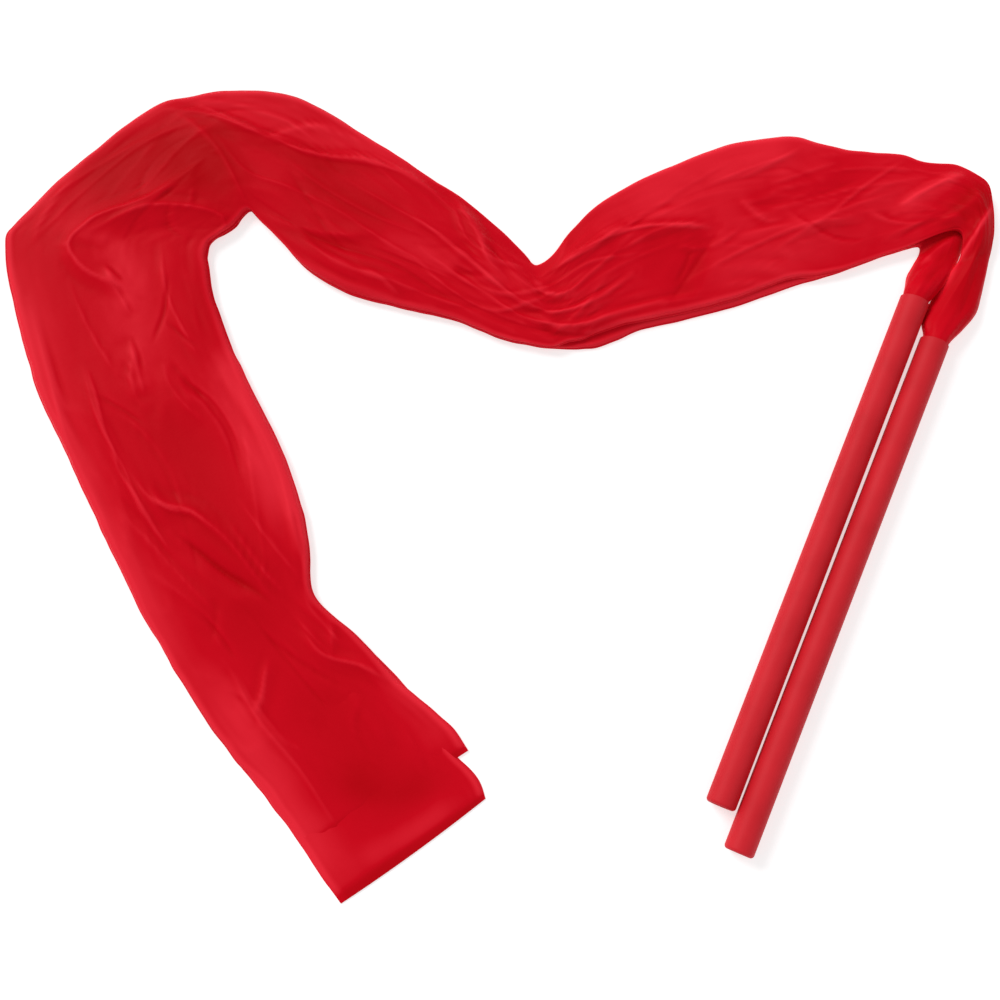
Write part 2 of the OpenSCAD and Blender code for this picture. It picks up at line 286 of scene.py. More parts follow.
# Thin creases that stay crisp, added after the silk has settled.
CRISP = [
    (-0.9, 1.6, 3.2, [(-258, 140), (-253, 136), (-245, 128)]),
    (-0.9, 3.4, 1.6, [(-254, 129), (-248, 121), (-239, 106)]),
    (-0.9, 2.0, 3.4, [(-217, 131), (-218, 110), (-225, 87)]),
    (-0.7, 1.8, 3.2, [(-239, 91), (-234, 81), (-230, 68)]),
    (-0.7, 3.0, 2.0, [(-217, 101), (-207, 92), (-195, 83)]),
    (-0.9, 2.4, 5.0, [(-212, 74), (-206, 64), (-185, 47), (-169, 20), (-165, 6)]),
    (0.8, 1.8, 4.0, [(-267, 70), (-259, 50), (-253, 30), (-244, 11)]),
    (-0.7, 2.0, 4.0, [(-260, 52), (-244, 43), (-227, 32)]),
    (0.8, 2.0, 4.5, [(-247, 19), (-243, 3), (-230, -15), (-221, -29), (-210, -47)]),
    (0.9, 4.5, 2.0, [(-223, -9), (-210, -23), (-195, -26), (-180, -38)]),
    (-0.8, 3.6, 1.8, [(-208, -37), (-187, -52), (-175, -62), (-156, -73), (-141, -85)]),
    (0.6, 4.0, 2.0, [(-166, -17), (-145, -44), (-124, -69)]),
    (-0.7, 1.8, 3.6, [(-188, -88), (-174, -104), (-164, -118)]),
    (0.6, 3.4, 1.8, [(-128, -92), (-115, -105), (-106, -113)]),
    (0.8, 2.0, 4.0, [(-31, 181), (-21, 156), (-5, 143), (19, 137)]),
    (0.7, 3.0, 2.0, [(-60, 148), (-33, 123), (-2, 108), (22, 114), (46, 125)]),
    (0.7, 2.0, 3.6, [(-30, 134), (2, 119), (29, 123), (60, 141), (95, 148)]),
    (0.6, 3.4, 1.8, [(-145, 215), (-121, 196), (-85, 174), (-50, 159)]),
    (-0.7, 2.0, 3.0, [(-85, 152), (-50, 137), (-22, 123)]),
    (0.7, 3.6, 1.8, [(-164, 237), (-131, 218), (-86, 209), (-58, 202)]),
    (0.5, 2.0, 3.0, [(-164, 248), (-143, 241), (-122, 226)]),
    (0.7, 3.6, 1.8, [(45, 146), (95, 165), (127, 167)]),
    (0.5, 2.0, 3.0, [(155, 198), (180, 210), (202, 223)]),
    (0.6, 3.0, 1.8, [(213, 170), (240, 193), (269, 213)]),
    (-0.6, 2.0, 3.2, [(126, 151), (121, 138), (115, 127)]),
]
# The same for the necks, which are not simulated.
NECK_FOLDS = {
    "left": [
        (1.6, 4, 7, [(271, 137), (277, 142), (289, 153), (303, 161)]),
        (1.0, 3, 4, [(270, 122), (276, 133), (286, 144)]),
        (-0.8, 3, 3, [(274, 119), (281, 130), (292, 142)]),
        (0.8, 3, 3, [(279, 118), (287, 128), (298, 141)]),
    ],
    "right": [
        (1.8, 3, 10, [(289, 124), (301, 144), (311, 160), (326, 183)]),
        (0.9, 3, 5, [(286, 104), (297, 122), (309, 142), (319, 166)]),
        (-0.7, 4, 4, [(293, 98), (303, 116), (313, 140)]),
        (0.9, 4, 5, [(301, 101), (310, 116), (318, 134), (322, 152)]),
        (1.2, 8, 5, [(318, 190), (306, 178), (290, 168)]),
    ],
}
# Painted shade (negative) and painted highlight on the silk: deeper where more layers lie over one
# another and in shaded hollows and pockets, lighter where one layer lets light through and on lit
# fold edges: change of tone, width to the left and right of the line in mm, and the line.
SHADE_AND_HIGHLIGHT = [
    (-0.9, 24, 30, [(-276, 186), (-240, 214), (-214, 214), (-192, 190)]),
    (0.4, 4, 9, [(-316, 172), (-270, 222), (-226, 256)]),
    (-0.5, 14, 22, [(-197, 231), (-183, 213), (-170, 192)]),
    (-0.35, 16, 8, [(-150, 168), (-119, 156), (-66, 137), (-30, 118)]),
    (-0.45, 16, 4, [(-198, 238), (-159, 222), (-120, 208), (-84, 202)]),
    (0.45, 26, 4, [(-210, 256), (-159, 236), (-120, 222), (-80, 214), (-50, 200)]),
    (-0.25, 12, 20, [(5, 112), (42, 118), (74, 132), (88, 142)]),
    (-0.4, 10, 22, [(92, 158), (116, 158), (138, 156)]),
    (-0.4, 8, 10, [(116, 122), (132, 146)]),
    (0.5, 24, 24, [(84, 180), (120, 200), (160, 216), (196, 224)]),
    (0.3, 30, 30, [(110, 140), (160, 170), (220, 185), (290, 190)]),
    (0.35, 16, 20, [(-20, 140), (20, 116), (60, 120), (90, 146)]),
    (0.35, 14, 14, [(-70, -122), (-50, -146), (-34, -170)]),
    (0.3, 16, 14, [(132, 128), (180, 142), (224, 152)]),
    (-0.3, 14, 14, [(160, 184), (204, 190), (240, 200)]),
    (0.7, 14, 20, [(-318, 130), (-300, 70), (-272, 2), (-240, -60), (-200, -124)]),
    (0.8, 20, 14, [(-182, 90), (-158, 30), (-130, -30)]),
    (-0.4, 20, 22, [(-230, 60), (-200, 10), (-176, -50), (-140, -110)]),
    (-0.4, 18, 18, [(-182, 150), (-184, 110), (-178, 70)]),
    (0.35, 16, 16, [(-252, 130), (-236, 90), (-222, 50)]),
    (0.6, 14, 14, [(-180, -130), (-146, -184), (-120, -222), (-100, -250)]),
    (-0.5, 14, 10, [(-100, -190), (-70, -200), (-40, -192)]),
    (0.4, 8, 8, [(-86, -240), (-60, -226), (-30, -206)]),
    (-0.35, 26, 26, [(-120, -130), (-90, -170), (-64, -196)]),
    (0.35, 10, 10, [(-296, 176), (-250, 148), (-236, 120)]),
    (-0.9, 10, 12, [(298, 172), (312, 184), (322, 192)]),
    (-0.9, 7, 7, [(280, 147), (292, 156), (304, 160)]),
    (0.8, 2, 5, [(278, 142), (289, 152), (303, 161)]),
    (0.9, 1.2, 2.5, [(286, 118), (301, 144), (311, 160), (326, 183)]),
    (0.5, 6, 6, [(262, 180), (284, 191), (307, 202)]),
    (-0.7, 12, 12, [(298, 106), (310, 134), (322, 164)]),
    (-0.6, 14, 14, [(-135, 203), (-99, 185), (-70, 168)]),
    (0.4, 10, 12, [(-80, 160), (-53, 147), (-30, 130)]),
    (-0.4, 5, 5, [(277, 124), (286, 138), (296, 150)]),
]


def spline(points, count):
    """Evenly spaced points of a smooth curve through a line's points or a band's stations."""
    points = np.array(points, float)
    is_band = points.shape[1] > 2
    steps = np.linalg.norm(np.diff(points[:, :4] if is_band else points, axis=0), axis=1)
    knots = np.concatenate([[0], np.cumsum(steps)])
    slopes = np.gradient(points, knots, axis=0)
    dense = np.linspace(0, knots[-1], 40 * len(points))
    path = spline_at(points, knots, slopes, dense)
    mid = (path[:, 0:2] + path[:, 2:4]) / 2 if is_band else path[:, :2]
    along = np.concatenate([[0], np.cumsum(np.linalg.norm(np.diff(mid, axis=0), axis=1))])
    if is_band:
        for k in (0, 2):
            side = path[:, k : k + 2]
            along[1:] += np.cumsum(np.linalg.norm(np.diff(side, axis=0), axis=1)) * 0.5
    at = np.interp(np.linspace(0, along[-1], count), along, dense)
    return spline_at(points, knots, slopes, at)


def hermite(a, b, slope_a, slope_b, t, gap=1):
    """A smooth way from a at t = 0 to b at t = 1, which are this gap apart."""
    return (
        (2 * t**3 - 3 * t**2 + 1) * a
        + (t**3 - 2 * t**2 + t) * gap * slope_a
        + (3 * t**2 - 2 * t**3) * b
        + (t**3 - t**2) * gap * slope_b
    )


def spline_at(points, knots, slopes, at):
    i = np.clip(np.searchsorted(knots, at, side="right") - 1, 0, len(knots) - 2)
    gap = (knots[i + 1] - knots[i])[:, None]
    t = (at - knots[i])[:, None] / gap
    return hermite(points[i], points[i + 1], slopes[i], slopes[i + 1], t, gap)


def resample(grid, rows, cols):
    """A smooth finer grid through a grid of points."""
    for axis, count in ((0, rows), (1, cols)):
        n = grid.shape[axis]
        g = np.moveaxis(grid, axis, 0)
        slopes = np.gradient(g, axis=0)
        at = np.linspace(0, n - 1, count)
        i = np.clip(np.floor(at).astype(int), 0, n - 2)
        t = (at - i).reshape((-1,) + (1,) * (g.ndim - 1))
        grid = np.moveaxis(hermite(g[i], g[i + 1], slopes[i], slopes[i + 1], t), 0, axis)
    return grid


def flatness(rows):
    """1 where the ribbon is laid flat, and 0 where it is gathered."""
    return 1 - np.clip(rows[:, 6] * 4, 0, 1)


def laid_count(rows):
    """How many rows are laid flat."""
    return int((rows[:, 6] < 0.02).sum())


def drawn_in(rows):
    """The rows with the laid part's edges moved in."""
    across = rows[:, 2:4] - rows[:, 0:2]
    across /= np.linalg.norm(across, axis=1)[:, None]
    room = (EDGE_ROOM * flatness(rows))[:, None]
    rows = rows.copy()
    rows[:, 0:2] += across * room
    rows[:, 2:4] -= across * room
    return rows


def noise(u, v, seed):
    """Smooth noise from -1 to 1 over the plane (u, v)."""
    table = np.random.default_rng(seed).uniform(-1, 1, (128, 128))
    iu, iv = np.floor(u).astype(int), np.floor(v).astype(int)
    fu, fv = u - iu, v - iv
    fu, fv = fu * fu * (3 - 2 * fu), fv * fv * (3 - 2 * fv)
    a, b = table[iu % 128, iv % 128], table[(iu + 1) % 128, iv % 128]
    c, d = table[iu % 128, (iv + 1) % 128], table[(iu + 1) % 128, (iv + 1) % 128]
    return (a * (1 - fu) + b * fu) * (1 - fv) + (c * (1 - fu) + d * fu) * fv


def smoothstep(x, a, b):
    t = np.clip((x - a) / (b - a), 0, 1)
    return t * t * (3 - 2 * t)


def faded(share, before, after):
    """1 along a line, and less toward its two ends."""
    return smoothstep(share, before, after) * smoothstep(1 - share, before, after)


def rounded(points):
    """A given line, rounded between its points."""
    points = np.array(points, float)
    if len(points) < 3:
        return points
    return spline(points, count=6 * (len(points) - 1) + 1)


def from_line(points, xy):
    """Each place's distance from a line, which side it is on and its share of the way along."""
    line = rounded(points)
    lengths = np.linalg.norm(np.diff(line, axis=0), axis=1)
    starts = np.concatenate([[0], np.cumsum(lengths)])
    best = np.full(len(xy), 1e9)
    side, share = np.zeros(len(xy)), np.zeros(len(xy))
    for k in range(len(line) - 1):
        d = line[k + 1] - line[k]
        t = np.clip(((xy - line[k]) @ d) / (d @ d), 0, 1)
        off = xy - line[k] - t[:, None] * d
        dist = np.hypot(off[:, 0], off[:, 1])
        closer = dist < best
        best = np.where(closer, dist, best)
        side = np.where(closer, np.sign(d[0] * off[:, 1] - d[1] * off[:, 0]), side)
        share = np.where(closer, (starts[k] + t * lengths[k]) / starts[-1], share)
    return best, side, share


def near(line, xy, reach):
    """Which places are in the box round a line."""
    low, high = np.min(line, axis=0) - reach, np.max(line, axis=0) + reach
    return np.flatnonzero(((xy > low) & (xy < high)).all(axis=1))


def relief(grid, folds):
    """The height that folds add at each place of a grid, with slightly rounded crests."""
    xy = grid[:, :, :2].reshape(-1, 2)
    height = np.zeros(len(xy))
    for amount, left, right, line in folds:
        close = near(line, xy, LINE_ROOM + max(left, right))
        dist, side, share = from_line(line, xy[close])
        width = np.where(side > 0, left, right)
        q = np.sqrt((dist / width) ** 2 + 0.006)
        height[close] += amount * faded(share, -0.08, 0.3) * np.clip(1 - q, 0, 1) ** 1.3
    return height.reshape(grid.shape[:2])


def placed_shading(grid):
    """The painted shade and highlight, as a change of tone, at each place of a grid."""
    xy = grid[:, :, :2].reshape(-1, 2)
    tone = np.zeros(len(xy))
    for amount, left, right, line in SHADE_AND_HIGHLIGHT:
        close = near(line, xy, LINE_ROOM + 2.6 * max(left, right))
        dist, side, share = from_line(line, xy[close])
        width = np.where(side > 0, left, right)
        tone[close] += amount * faded(share, -0.15, 0.2) * np.exp(-((dist / width) ** 2))
    return tone.reshape(grid.shape[:2])


def loose_creases(rows, seed, count):
    """Small creases that run along the band, each a little off its line."""
    pick = np.random.default_rng(seed)
    laid = laid_count(rows)
    step = LAID_LENGTH / ROWS
    found = []
    for _ in range(count):
        first = pick.uniform(0.02, 0.96) * laid
        length = pick.uniform(24, 110) / step
        u0 = pick.uniform(0.08, 0.92)
        drift = pick.normal(0, 0.16)
        bow = pick.normal(0, 0.05)
        height = pick.uniform(0.4, 1.3) * pick.choice([1, 1, -0.8])
        narrow, wide = pick.uniform(2.5, 5), pick.uniform(7, 18)
        sides = (narrow, wide) if pick.random() < 0.5 else (wide, narrow)
        line = []
        for t in (0, 0.33, 0.67, 1):
            k = int(np.clip(first + t * length, 0, laid - 1))
            u = float(np.clip(u0 + drift * (t - 0.5) + bow * math.sin(math.pi * t), 0.04, 0.96))
            line.append(tuple(rows[k, 0:2] * (1 - u) + rows[k, 2:4] * u))
        if math.dist(line[0], line[-1]) > 12:
            found.append((height, *sides, line))
    return found


def mesh_object(name, grid, material=None):
    """A mesh of quads over a grid of points in mm."""
    rows, cols = grid.shape[:2]
    i, j = np.meshgrid(np.arange(rows - 1), np.arange(cols - 1), indexing="ij")
    a = (i * cols + j).ravel()
    faces = np.stack([a, a + 1, a + cols + 1, a + cols], axis=1).tolist()
    mesh = bpy.data.meshes.new(name)
    mesh.from_pydata([tuple(v) for v in grid.reshape(-1, 3) * MM], [], faces)
    mesh.validate()
    mesh.polygons.foreach_set("use_smooth", [True] * len(mesh.polygons))
    obj = bpy.data.objects.new(name, mesh)
    bpy.context.scene.collection.objects.link(obj)
    if material is not None:
        mesh.materials.append(material)
    return obj


def plan(rows, cols, s, width, is_upper):
    """Where the top layer's points are seen from above, with its uneven edges and end."""
    u = np.linspace(0, 1, cols)
    a, b = rows[:, None, 0:2], rows[:, None, 2:4]
    xy = a + (b - a) * u[None, :, None]
    for k, sign in ((0, 1), (2, -1)):
        edge = rows[:, k : k + 2]
        shift = 0
        for size, wavelength, seed in EDGE_WANDER:
            shift = shift + size * noise(edge[:, 0] / wavelength, edge[:, 1] / wavelength, seed)
        shift *= flatness(rows) * sign / width
        inward = (u if k == 0 else 1 - u)[None, :] * width[:, None]
        xy = xy + (a - b) * (shift[:, None] * np.exp(-inward / EDGE_REACH))[:, :, None]
    ahead = rows[0, 0:2] + rows[0, 2:4] - rows[6, 0:2] - rows[6, 2:4]
    ahead = ahead / np.linalg.norm(ahead)
    bow = np.exp(-s / END_FADE) * (4 * u * (1 - u))[None, :] * END_BOW[is_upper]
    return xy + bow[:, :, None] * ahead


def top_layer(rows, cols, is_upper, creases):
    """The top layer's starting shape, in mm: a grid of rows and columns, with its folds."""
    u = np.linspace(0, 1, cols)
    sides = rows[:, 0:2] + rows[:, 2:4]
    s = np.concatenate([[0], np.cumsum(np.linalg.norm(np.diff(sides, axis=0), axis=1) / 2)])
    s = s[:, None] + 0 * u
    seed = SEEDS[is_upper]
    width = np.linalg.norm(rows[:, 0:2] - rows[:, 2:4], axis=1)
    xy = plan(rows, cols, s, width, is_upper)
    rise = 1 - np.exp(-(np.minimum(u, 1 - u)[None, :] * width[:, None]) / EDGE_RISE)
    low, thick, gather = rows[:, 4][:, None], rows[:, 5][:, None], rows[:, 6][:, None]
    size, length = EDGE_LIFT
    own_noise = (u > 0.5) * 7.3 + 0 * s  # so that the two edges differ
    lift = size * (1 + noise(s / length, own_noise, seed + 5)) * (1 - rise)
    flat = low + thick * (EDGE_HEIGHT + (1 - EDGE_HEIGHT) * rise) + lift
    across = (u - 0.5)[None, :] * width[:, None]
    size, length, spacing = MEANDER
    warped = across + size * noise(s / length, across / spacing, seed)
    bumps = 0
    for k, (size, length, spacing) in enumerate(RIDGES):
        valley = np.abs(noise(s / length, warped / spacing, seed + 1 + k))
        bumps = bumps + size * (1 - 2 * valley)
    size, length, spacing = SWELL
    bumps = bumps + size * noise(s / length, across / spacing, seed + 3)
    grown = smoothstep(s, *CALM_END)
    strength = RELIEF[is_upper] * grown * (1 - np.clip(gather, 0, 1))
    height = flat + strength * bumps * rise
    if is_upper:
        height += FOLD_HEIGHT * relief(xy, FOLDS) * rise * (1 - smoothstep(gather, 0.0, 0.3))
    height += relief(xy, creases) * rise * grown
    return np.concatenate([xy, np.maximum(height, low + LEAST_TOP)[:, :, None]], axis=2)


def settle(name, start, rows):
    """Lets the top layer settle on what is under it, as cloth, and returns its points in mm."""
    n, cols = start.shape[:2]
    obj = mesh_object(name, start)
    pins = obj.vertex_groups.new(name="held")
    index = np.arange(n * cols).reshape(n, cols)
    held = np.concatenate([index[:, 0], index[:, -1], index[-1, 1:-1], index[0, 1:-1]])
    pins.add(held.tolist(), 1.0, "REPLACE")
    obj.shape_key_add(name="Basis")
    cut = obj.shape_key_add(name="cut")
    middle = (start[:, :1, :2] + start[:, -1:, :2]) / 2
    wide = start * TAUT
    wide[:, :, :2] = middle * TAUT + (start[:, :, :2] - middle) * SLACK
    cut.data.foreach_set("co", (wide * MM).astype(np.float32).ravel())
    under = start.copy()
    u = np.linspace(0, 1, cols)
    drop = SUPPORT_DROP * np.clip(10 * u * (1 - u), 0.3, 1)
    under[:, :, 2] = np.maximum(start[:, :, 2] - drop, (rows[:, 4] + LEAST_SUPPORT)[:, None])
    support = mesh_object(name + "_under", under)
    support.modifiers.new("Collision", "COLLISION")
    support.collision.thickness_outer = CONTACT
    support.collision.cloth_friction = FRICTION
    cloth = obj.modifiers.new("Cloth", "CLOTH")
    settings = cloth.settings
    settings.quality = 4
    settings.mass = 0.12
    settings.tension_stiffness = settings.compression_stiffness = 14
    settings.shear_stiffness = 8
    settings.bending_stiffness = 0.25
    settings.air_damping = 4
    settings.effector_weights.gravity = GRAVITY
    settings.vertex_group_mass = "held"
    settings.pin_stiffness = 1
    settings.rest_shape_key = cut
    cloth.collision_settings.distance_min = CONTACT
    cloth.collision_settings.use_self_collision = False
    scene = bpy.context.scene
    scene.frame_start, scene.frame_end = 1, SETTLE_FRAMES
    cloth.point_cache.frame_start, cloth.point_cache.frame_end = 1, SETTLE_FRAMES
    for f in range(1, SETTLE_FRAMES + 1):
        scene.frame_set(f)
    shown = obj.evaluated_get(bpy.context.evaluated_depsgraph_get())
    points = np.zeros(n * cols * 3, np.float32)
    shown.data.vertices.foreach_get("co", points)
    scene.frame_set(1)
    for done in (obj, support):
        bpy.data.objects.remove(done, do_unlink=True)
    moved = points.reshape(n, cols, 3).astype(float) / MM - start
    for _ in range(SMOOTHING):
        moved[1:-1] = (moved[:-2] + 2 * moved[1:-1] + moved[2:]) / 4
    return start + moved


def wrapped(top, rows, seed):
    """Adds the rolled edges and the flaps tucked under, and gathers the end into a round."""
    n, cols = top.shape[:2]
    low, high = rows[:, 4], rows[:, 4] + rows[:, 5]
    gather = np.clip(rows[:, 6], 0, 1)
    centre = np.stack([*((rows[:, 0:2] + rows[:, 2:4]).T / 2), (low + high) / 2], axis=1)
    half = (rows[:, 0:2] - rows[:, 2:4]) / 2
    tall = (high - low) / 2

    def on_round(angles):
        """The gathered section's points at these angles, with its pleats."""
        t = np.asarray(angles)[None, :]
        at = np.arange(n)[:, None] / n
        turned = 11 * t + 3 * noise(at * 30, t * 0 + seed, 5)
        pleats = 0.5 * np.sin(turned) + 0.5 * np.sin(7 * t + 1)
        size = 1 + PLEAT * pleats * (1 - smoothstep(gather, 0.95, 1.0) * 0.75)[:, None]
        xy = centre[:, None, :2] + half[:, None, :] * (np.cos(t) * size)[:, :, None]
        z = centre[:, 2:3] + tall[:, None] * np.sin(t) * size
        return np.concatenate([xy, z[:, :, None]], axis=2)

    mix = gather[:, None, None]
    shown = top * (1 - mix) + on_round(np.linspace(0, math.pi, cols)) * mix
    out = []
    for side in (0, -1):
        edge = top[:, side]
        inward = top[:, 0 if side else -1, :2] - edge[:, :2]
        width = np.linalg.norm(inward, axis=1)
        inward = inward / width[:, None]
        radius = np.maximum(edge[:, 2] - low, LEAST_ROLL) / 2
        under = []
        for t in np.linspace(0, math.pi, ROLL_COLS + 1)[1:]:
            x = edge[:, :2] - inward * (radius * math.sin(t) * ROLL_DEPTH)[:, None]
            z = low + radius + radius * math.cos(t)
            under.append(np.concatenate([x, z[:, None]], axis=1))
        for share in np.linspace(0, FLAP_SHARE, FLAP_COLS + 1)[1:]:
            x = edge[:, :2] + inward * (width * share)[:, None]
            uneven = noise(np.arange(n) / 30, np.full(n, share * 9 + side * 5), 71)
            under.append(np.concatenate([x, (low + FLAP_LIFT * (1 + uneven))[:, None]], axis=1))
        turn = np.linspace(0, GATHER_TURN, ROLL_COLS + FLAP_COLS + 1)[1:]
        ring = on_round(-turn if side == 0 else math.pi + turn)
        out.append(np.stack(under, axis=1) * (1 - mix) + ring * mix)
    return np.concatenate([out[0][:, ::-1], shown, out[1]], axis=1)


def painted_shading(grid):
    """The silk's painted shading: painted highlight on ridges, single layers and rolled edges,
    painted shade in valleys, hollows and stacked layers.
    """
    cols = grid.shape[1]
    z = grid[:, :, 2]
    wide = z.copy()
    for _ in range(RELIEF_PASSES):
        wide = (
            wide
            + np.roll(wide, 1, 0)
            + np.roll(wide, -1, 0)
            + np.pad(wide, ((0, 0), (1, 0)), mode="edge")[:, :-1]
            + np.pad(wide, ((0, 0), (0, 1)), mode="edge")[:, 1:]
        ) / 5
    # Painted highlight on ridges and painted shade in valleys.
    tone = BASE_TONE + RELIEF_SHADING * np.clip(z - wide, -RELIEF_MOST, RELIEF_MOST)
    # Placed painted shade and painted highlight.
    tone += placed_shading(grid) * PLACED_SHADING
    from_side = np.minimum(np.arange(cols), cols - 1 - np.arange(cols)) - FLAP_COLS
    # Painted highlight along the rolled edges.
    return tone + EDGE_HIGHLIGHT * np.clip(1 - np.abs(from_side - ROLL_COLS) / ROLL_COLS, 0, 1)


def new_material(name, values):
    """A material with these values on its shader's sockets."""
    material = bpy.data.materials.new(name)
    material.use_nodes = True
    for socket, value in values.items():
        principled(material).inputs[socket].default_value = value
    return material


def principled(material):
    """The material's shader."""
    return next(n for n in material.node_tree.nodes if n.type == "BSDF_PRINCIPLED")


def add_node(material, kind, **inputs):
    node = material.node_tree.nodes.new("ShaderNode" + kind)
    for socket, value in inputs.items():
        node.inputs[socket].default_value = value
    return node


def add_texture(material, kind, **inputs):
    """A texture that sits on the object."""
    texture = add_node(material, kind, **inputs)
    place = add_node(material, "TexCoord")
    material.node_tree.links.new(place.outputs["Object"], texture.inputs["Vector"])
    return texture.outputs["Fac"]


def multiply_add(material, value, factor, added):
    """value * factor + added."""
    node = add_node(material, "Math")
    node.operation = "MULTIPLY_ADD"
    node.inputs[1].default_value = factor
    material.node_tree.links.new(value, node.inputs[0])
    material.node_tree.links.new(added, node.inputs[2])
    return node.outputs[0]


def add_colour(material, tone, stops):
    """Colours the material by a tone, through a ramp with these stops."""
    ramp = add_node(material, "ValToRGB")
    elements = ramp.color_ramp.elements
    for element, (position, colour) in zip((elements[0], elements[-1]), (stops[0], stops[-1])):
        element.position, element.color = position, (*colour, 1)
    for position, colour in stops[1:-1]:
        elements.new(position).color = (*colour, 1)
    links = material.node_tree.links
    links.new(tone, ramp.inputs["Fac"])
    links.new(ramp.outputs["Color"], principled(material).inputs["Base Color"])


def add_bump(material, height, strength, depth):
    bump = add_node(material, "Bump", Strength=strength, Distance=depth)
    links = material.node_tree.links
    links.new(height, bump.inputs["Height"])
    links.new(bump.outputs["Normal"], principled(material).inputs["Normal"])


def silk_material():
    """Plain-woven silk, coloured by the painted shade and highlight that the mesh's tone carries,
    and by faint clouds.
    """
    silk = new_material("silk", {"Roughness": 0.46, "Specular IOR Level": 0.05})
    tone = add_node(silk, "Attribute")
    tone.attribute_name = "tone"
    clouds = add_texture(silk, "TexNoise", Scale=18, Detail=3)
    shading_and_clouds = multiply_add(silk, clouds, 0.22, tone.outputs["Fac"])
    # The silk's red in painted shade, in between, and in painted highlight.
    deep, middle, light = (0.50, 0.0, 0.004), (0.66, 0.0012, 0.011), (0.90, 0.022, 0.042)
    add_colour(silk, shading_and_clouds, [(0.05, deep), (0.55, middle), (1.0, light)])
    weave = add_texture(silk, "TexWave", Scale=900, Distortion=0.6)
    crepe = add_texture(silk, "TexNoise", Scale=420, Detail=4)
    add_bump(silk, multiply_add(silk, weave, 0.35, crepe), 0.18, 0.0003)
    return silk


def plain_material(name, dark, light, roughness, specular, patch, grain, depth):
    """A moulded or spun material: soft patches of colour and a fine grain."""
    material = new_material(name, {"Roughness": roughness, "Specular IOR Level": specular})
    patches = add_texture(material, "TexNoise", Scale=patch, Detail=5)
    add_colour(material, patches, [(0.3, dark), (0.7, light)])
    add_bump(material, add_texture(material, "TexNoise", Scale=grain, Detail=6), 0.25, depth)
    return material


def silk_grid(side, stations, is_upper):
    """One wand's whole silk as a grid in mm, and the fine rows that it follows."""
    rows = drawn_in(spline(stations, count=ROWS))
    creases = loose_creases(rows, SEEDS[is_upper] + 7, LOOSE_CREASES[is_upper])
    start = top_layer(rows, COLS, is_upper, creases)
    laid = laid_count(rows)
    start[:laid] = settle(side + "_settling", start[:laid], rows[:laid])
    count = ROWS * FINE_ROWS
    fine_rows = drawn_in(spline(stations, count=count))
    top = resample(start, count, COLS * FINE_COLS)
    roundness = fine_rows[:, 6][:, None]
    if is_upper:
        along_folds = [(h * CRISP_SHARE, *CRISP_WIDTHS, line) for h, _, _, line in FOLDS + creases]
        top[:, :, 2] += relief(top, CRISP + along_folds) * (1 - smoothstep(roundness, 0.0, 0.3))
    neck_folds = relief(top, NECK_FOLDS[side]) * (1 - smoothstep(roundness, 0.5, 1.0))
    grid = wrapped(top, fine_rows, PLEAT_SEEDS[is_upper])
    grid[:, ROLL_COLS + FLAP_COLS : -ROLL_COLS - FLAP_COLS, 2] += neck_folds
    return grid, fine_rows


def build_ribbon(side, stations, is_upper, cuts, material):
    """One wand's silk: its laid band, the corner that turns, and the gathered neck.

    The band ends and the neck begins at the two cuts."""
    grid, fine_rows = silk_grid(side, stations, is_upper)
    count, cols = grid.shape[:2]
    tone = painted_shading(grid)
    whole = mesh_object("whole", grid)
    normals = np.zeros(count * cols * 3, np.float32)
    whole.data.vertices.foreach_get("normal", normals)
    normals = normals.reshape(count, cols, 3)
    bpy.data.objects.remove(whole, do_unlink=True)
    nearest = (int(np.argmin(np.linalg.norm(fine_rows[:, :2] - c, axis=1))) for c in cuts)
    seams = [0, *nearest, count - 1]
    pieces = []
    for part, first, last in zip(("band", "corner", "neck"), seams, seams[1:]):
        take = slice(first, last + 1)
        obj = mesh_object(f"{side}_{part}", grid[take], material)
        obj.data.normals_split_custom_set_from_vertices(normals[take].reshape(-1, 3))
        # Each piece carries the painted shade and highlight as its tone.
        attribute = obj.data.attributes.new("tone", "FLOAT", "POINT")
        attribute.data.foreach_set("value", tone[take].ravel().astype(np.float32))
        pieces.append(obj)
    band, corner, neck = pieces
    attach(band, side + "_ribbon")
    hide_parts(side + "_ribbon")
    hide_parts(side + "_ribbon_neck", side + "_ribbon_tail")
    return pieces


silk = silk_material()
lower = build_ribbon("left", LOWER, False, [(268, 219), (295.5, 143)], silk)
upper = build_ribbon("right", UPPER, True, [(268, 220), (321, 139)], silk)
# Each corner's and each neck's place is baked into its points. With each go two places along the
# diagonal that runs down and to the right, and two before its mouth, in mm.
for side, (band, corner, neck), (start, end), (bend_from, bend_to) in (
    ("left", lower, (72, 94.5), (15, 1)),
    ("right", upper, (75, 113), (36, 1)),
):
    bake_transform(corner)
    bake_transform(neck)

FINISHES = {
    "grip_sleeve": plain_material(
        "sleeve", (0.60, 0.009, 0.018), (0.68, 0.014, 0.025), 0.6, 0.22, 35, 900, 0.0003
    ),
    "core_tube": plain_material(
        "tube", (0.55, 0.53, 0.5), (0.62, 0.6, 0.57), 0.4, 0.4, 60, 1500, 0.0001
    ),
    "butt_plug": plain_material(
        "plug", (0.36, 0.006, 0.012), (0.42, 0.009, 0.016), 0.45, 0.4, 90, 1200, 0.0002
    ),
    "binding_thread": plain_material(
        "thread", (0.22, 0.002, 0.006), (0.5, 0.01, 0.02), 0.75, 0.2, 2500, 5000, 0.0002
    ),
}
FINISHES["tip_plug"] = FINISHES["butt_plug"]
for side in WANDS:
    for part, material in FINISHES.items():
        for material_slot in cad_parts[f"{side}_{part}"].material_slots:
            material_slot.material = material

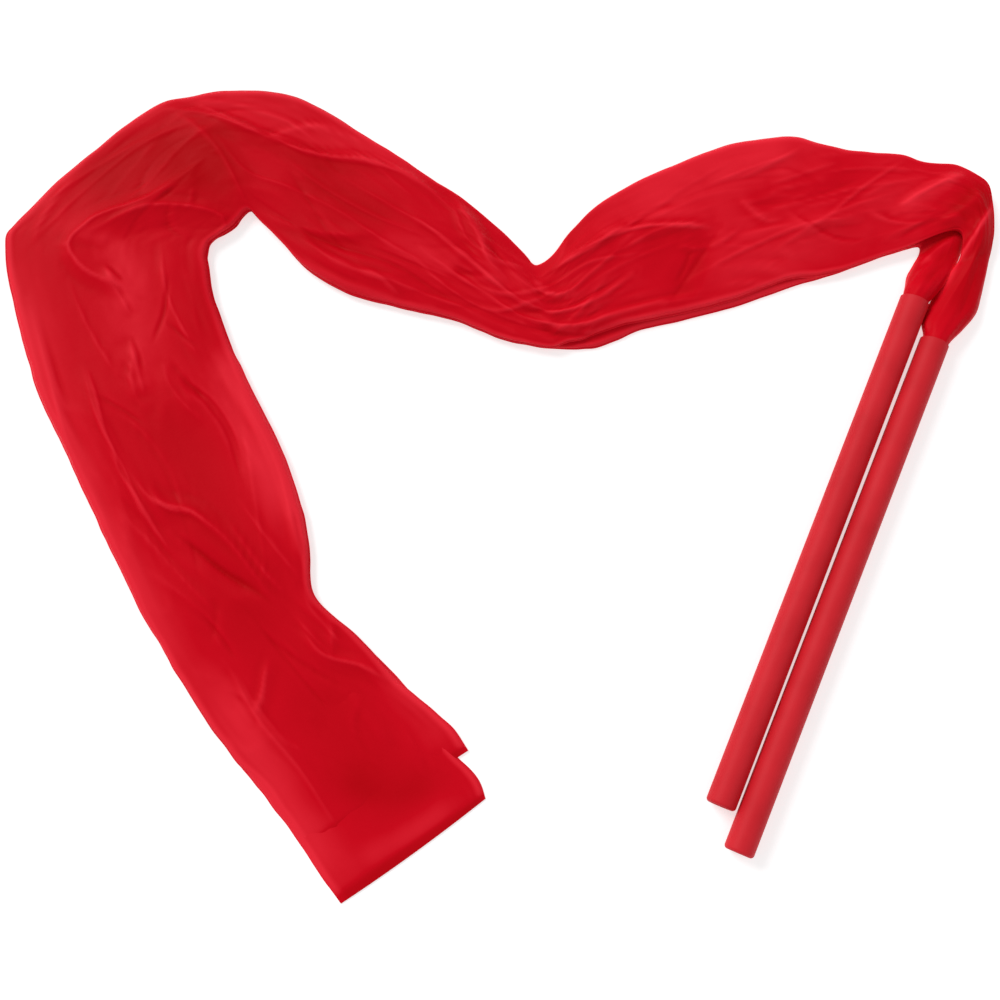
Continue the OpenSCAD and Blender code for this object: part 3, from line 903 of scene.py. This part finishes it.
# A white floor that glows enough to leave only a faint shadow, and a white wall round it.
FLOOR_HALF = 4000  # half its side, in mm
floor_grid = [[(x, y, 0) for x in (-FLOOR_HALF, FLOOR_HALF)] for y in (-FLOOR_HALF, FLOOR_HALF)]
paper = new_material(
    "paper",
    {
        "Base Color": (0.6, 0.6, 0.6, 1),
        "Roughness": 0.9,
        "Emission Color": (1, 1, 1, 1),
        "Emission Strength": 0.6,
    },
)
floor = mesh_object("floor", np.array(floor_grid, float), paper)

world = bpy.data.worlds.new("studio")
bpy.context.scene.world = world
world.use_nodes = True
sky = world.node_tree
room = sky.nodes["Background"]
wall = sky.nodes.new("ShaderNodeBackground")
for background, strength in ((room, 0.42), (wall, 1.0)):
    background.inputs["Color"].default_value = (1, 1, 1, 1)
    background.inputs["Strength"].default_value = strength
ray = sky.nodes.new("ShaderNodeLightPath")
choice = sky.nodes.new("ShaderNodeMixShader")
sky.links.new(ray.outputs["Is Camera Ray"], choice.inputs[0])
sky.links.new(room.outputs[0], choice.inputs[1])
sky.links.new(wall.outputs[0], choice.inputs[2])
sky.links.new(choice.outputs[0], sky.nodes["World Output"].inputs["Surface"])


def add_lamp(light, place):
    """Adds a light at this place, aimed at the origin."""
    lamp = bpy.data.objects.new(light.name, light)
    lamp.location = place
    lamp.rotation_euler = (-Vector(place)).to_track_quat("-Z", "Y").to_euler()
    bpy.context.scene.collection.objects.link(lamp)


key = bpy.data.lights.new("key", "SUN")
key.energy, key.angle = 1.75, math.radians(24)
add_lamp(key, (-1.0, 0.9, 1.25))
fill = bpy.data.lights.new("fill", "AREA")
fill.energy, fill.size = 4, 1.4
add_lamp(fill, (0.9, -0.7, 1.6))
bpy.context.scene.view_settings.view_transform = "Standard"

TILT = math.radians(10.5)  # how far the photograph's camera leans from straight above
DISTANCE = 0.9
VIEW_WIDTH = 0.642  # how much the camera takes in at that distance, in m
SENSOR = 36  # in mm
look_at = Vector((0, -0.015, 0))
eye = look_at + DISTANCE * Vector((0, -math.sin(TILT), math.cos(TILT)))
camera_data = bpy.data.cameras.new("camera")
camera_data.sensor_width = SENSOR
camera_data.lens = SENSOR * DISTANCE / VIEW_WIDTH
camera = bpy.data.objects.new("camera", camera_data)
camera.location = eye
camera.rotation_euler = (look_at - eye).to_track_quat("-Z", "Y").to_euler()
bpy.context.scene.collection.objects.link(camera)
bpy.context.scene.camera = camera
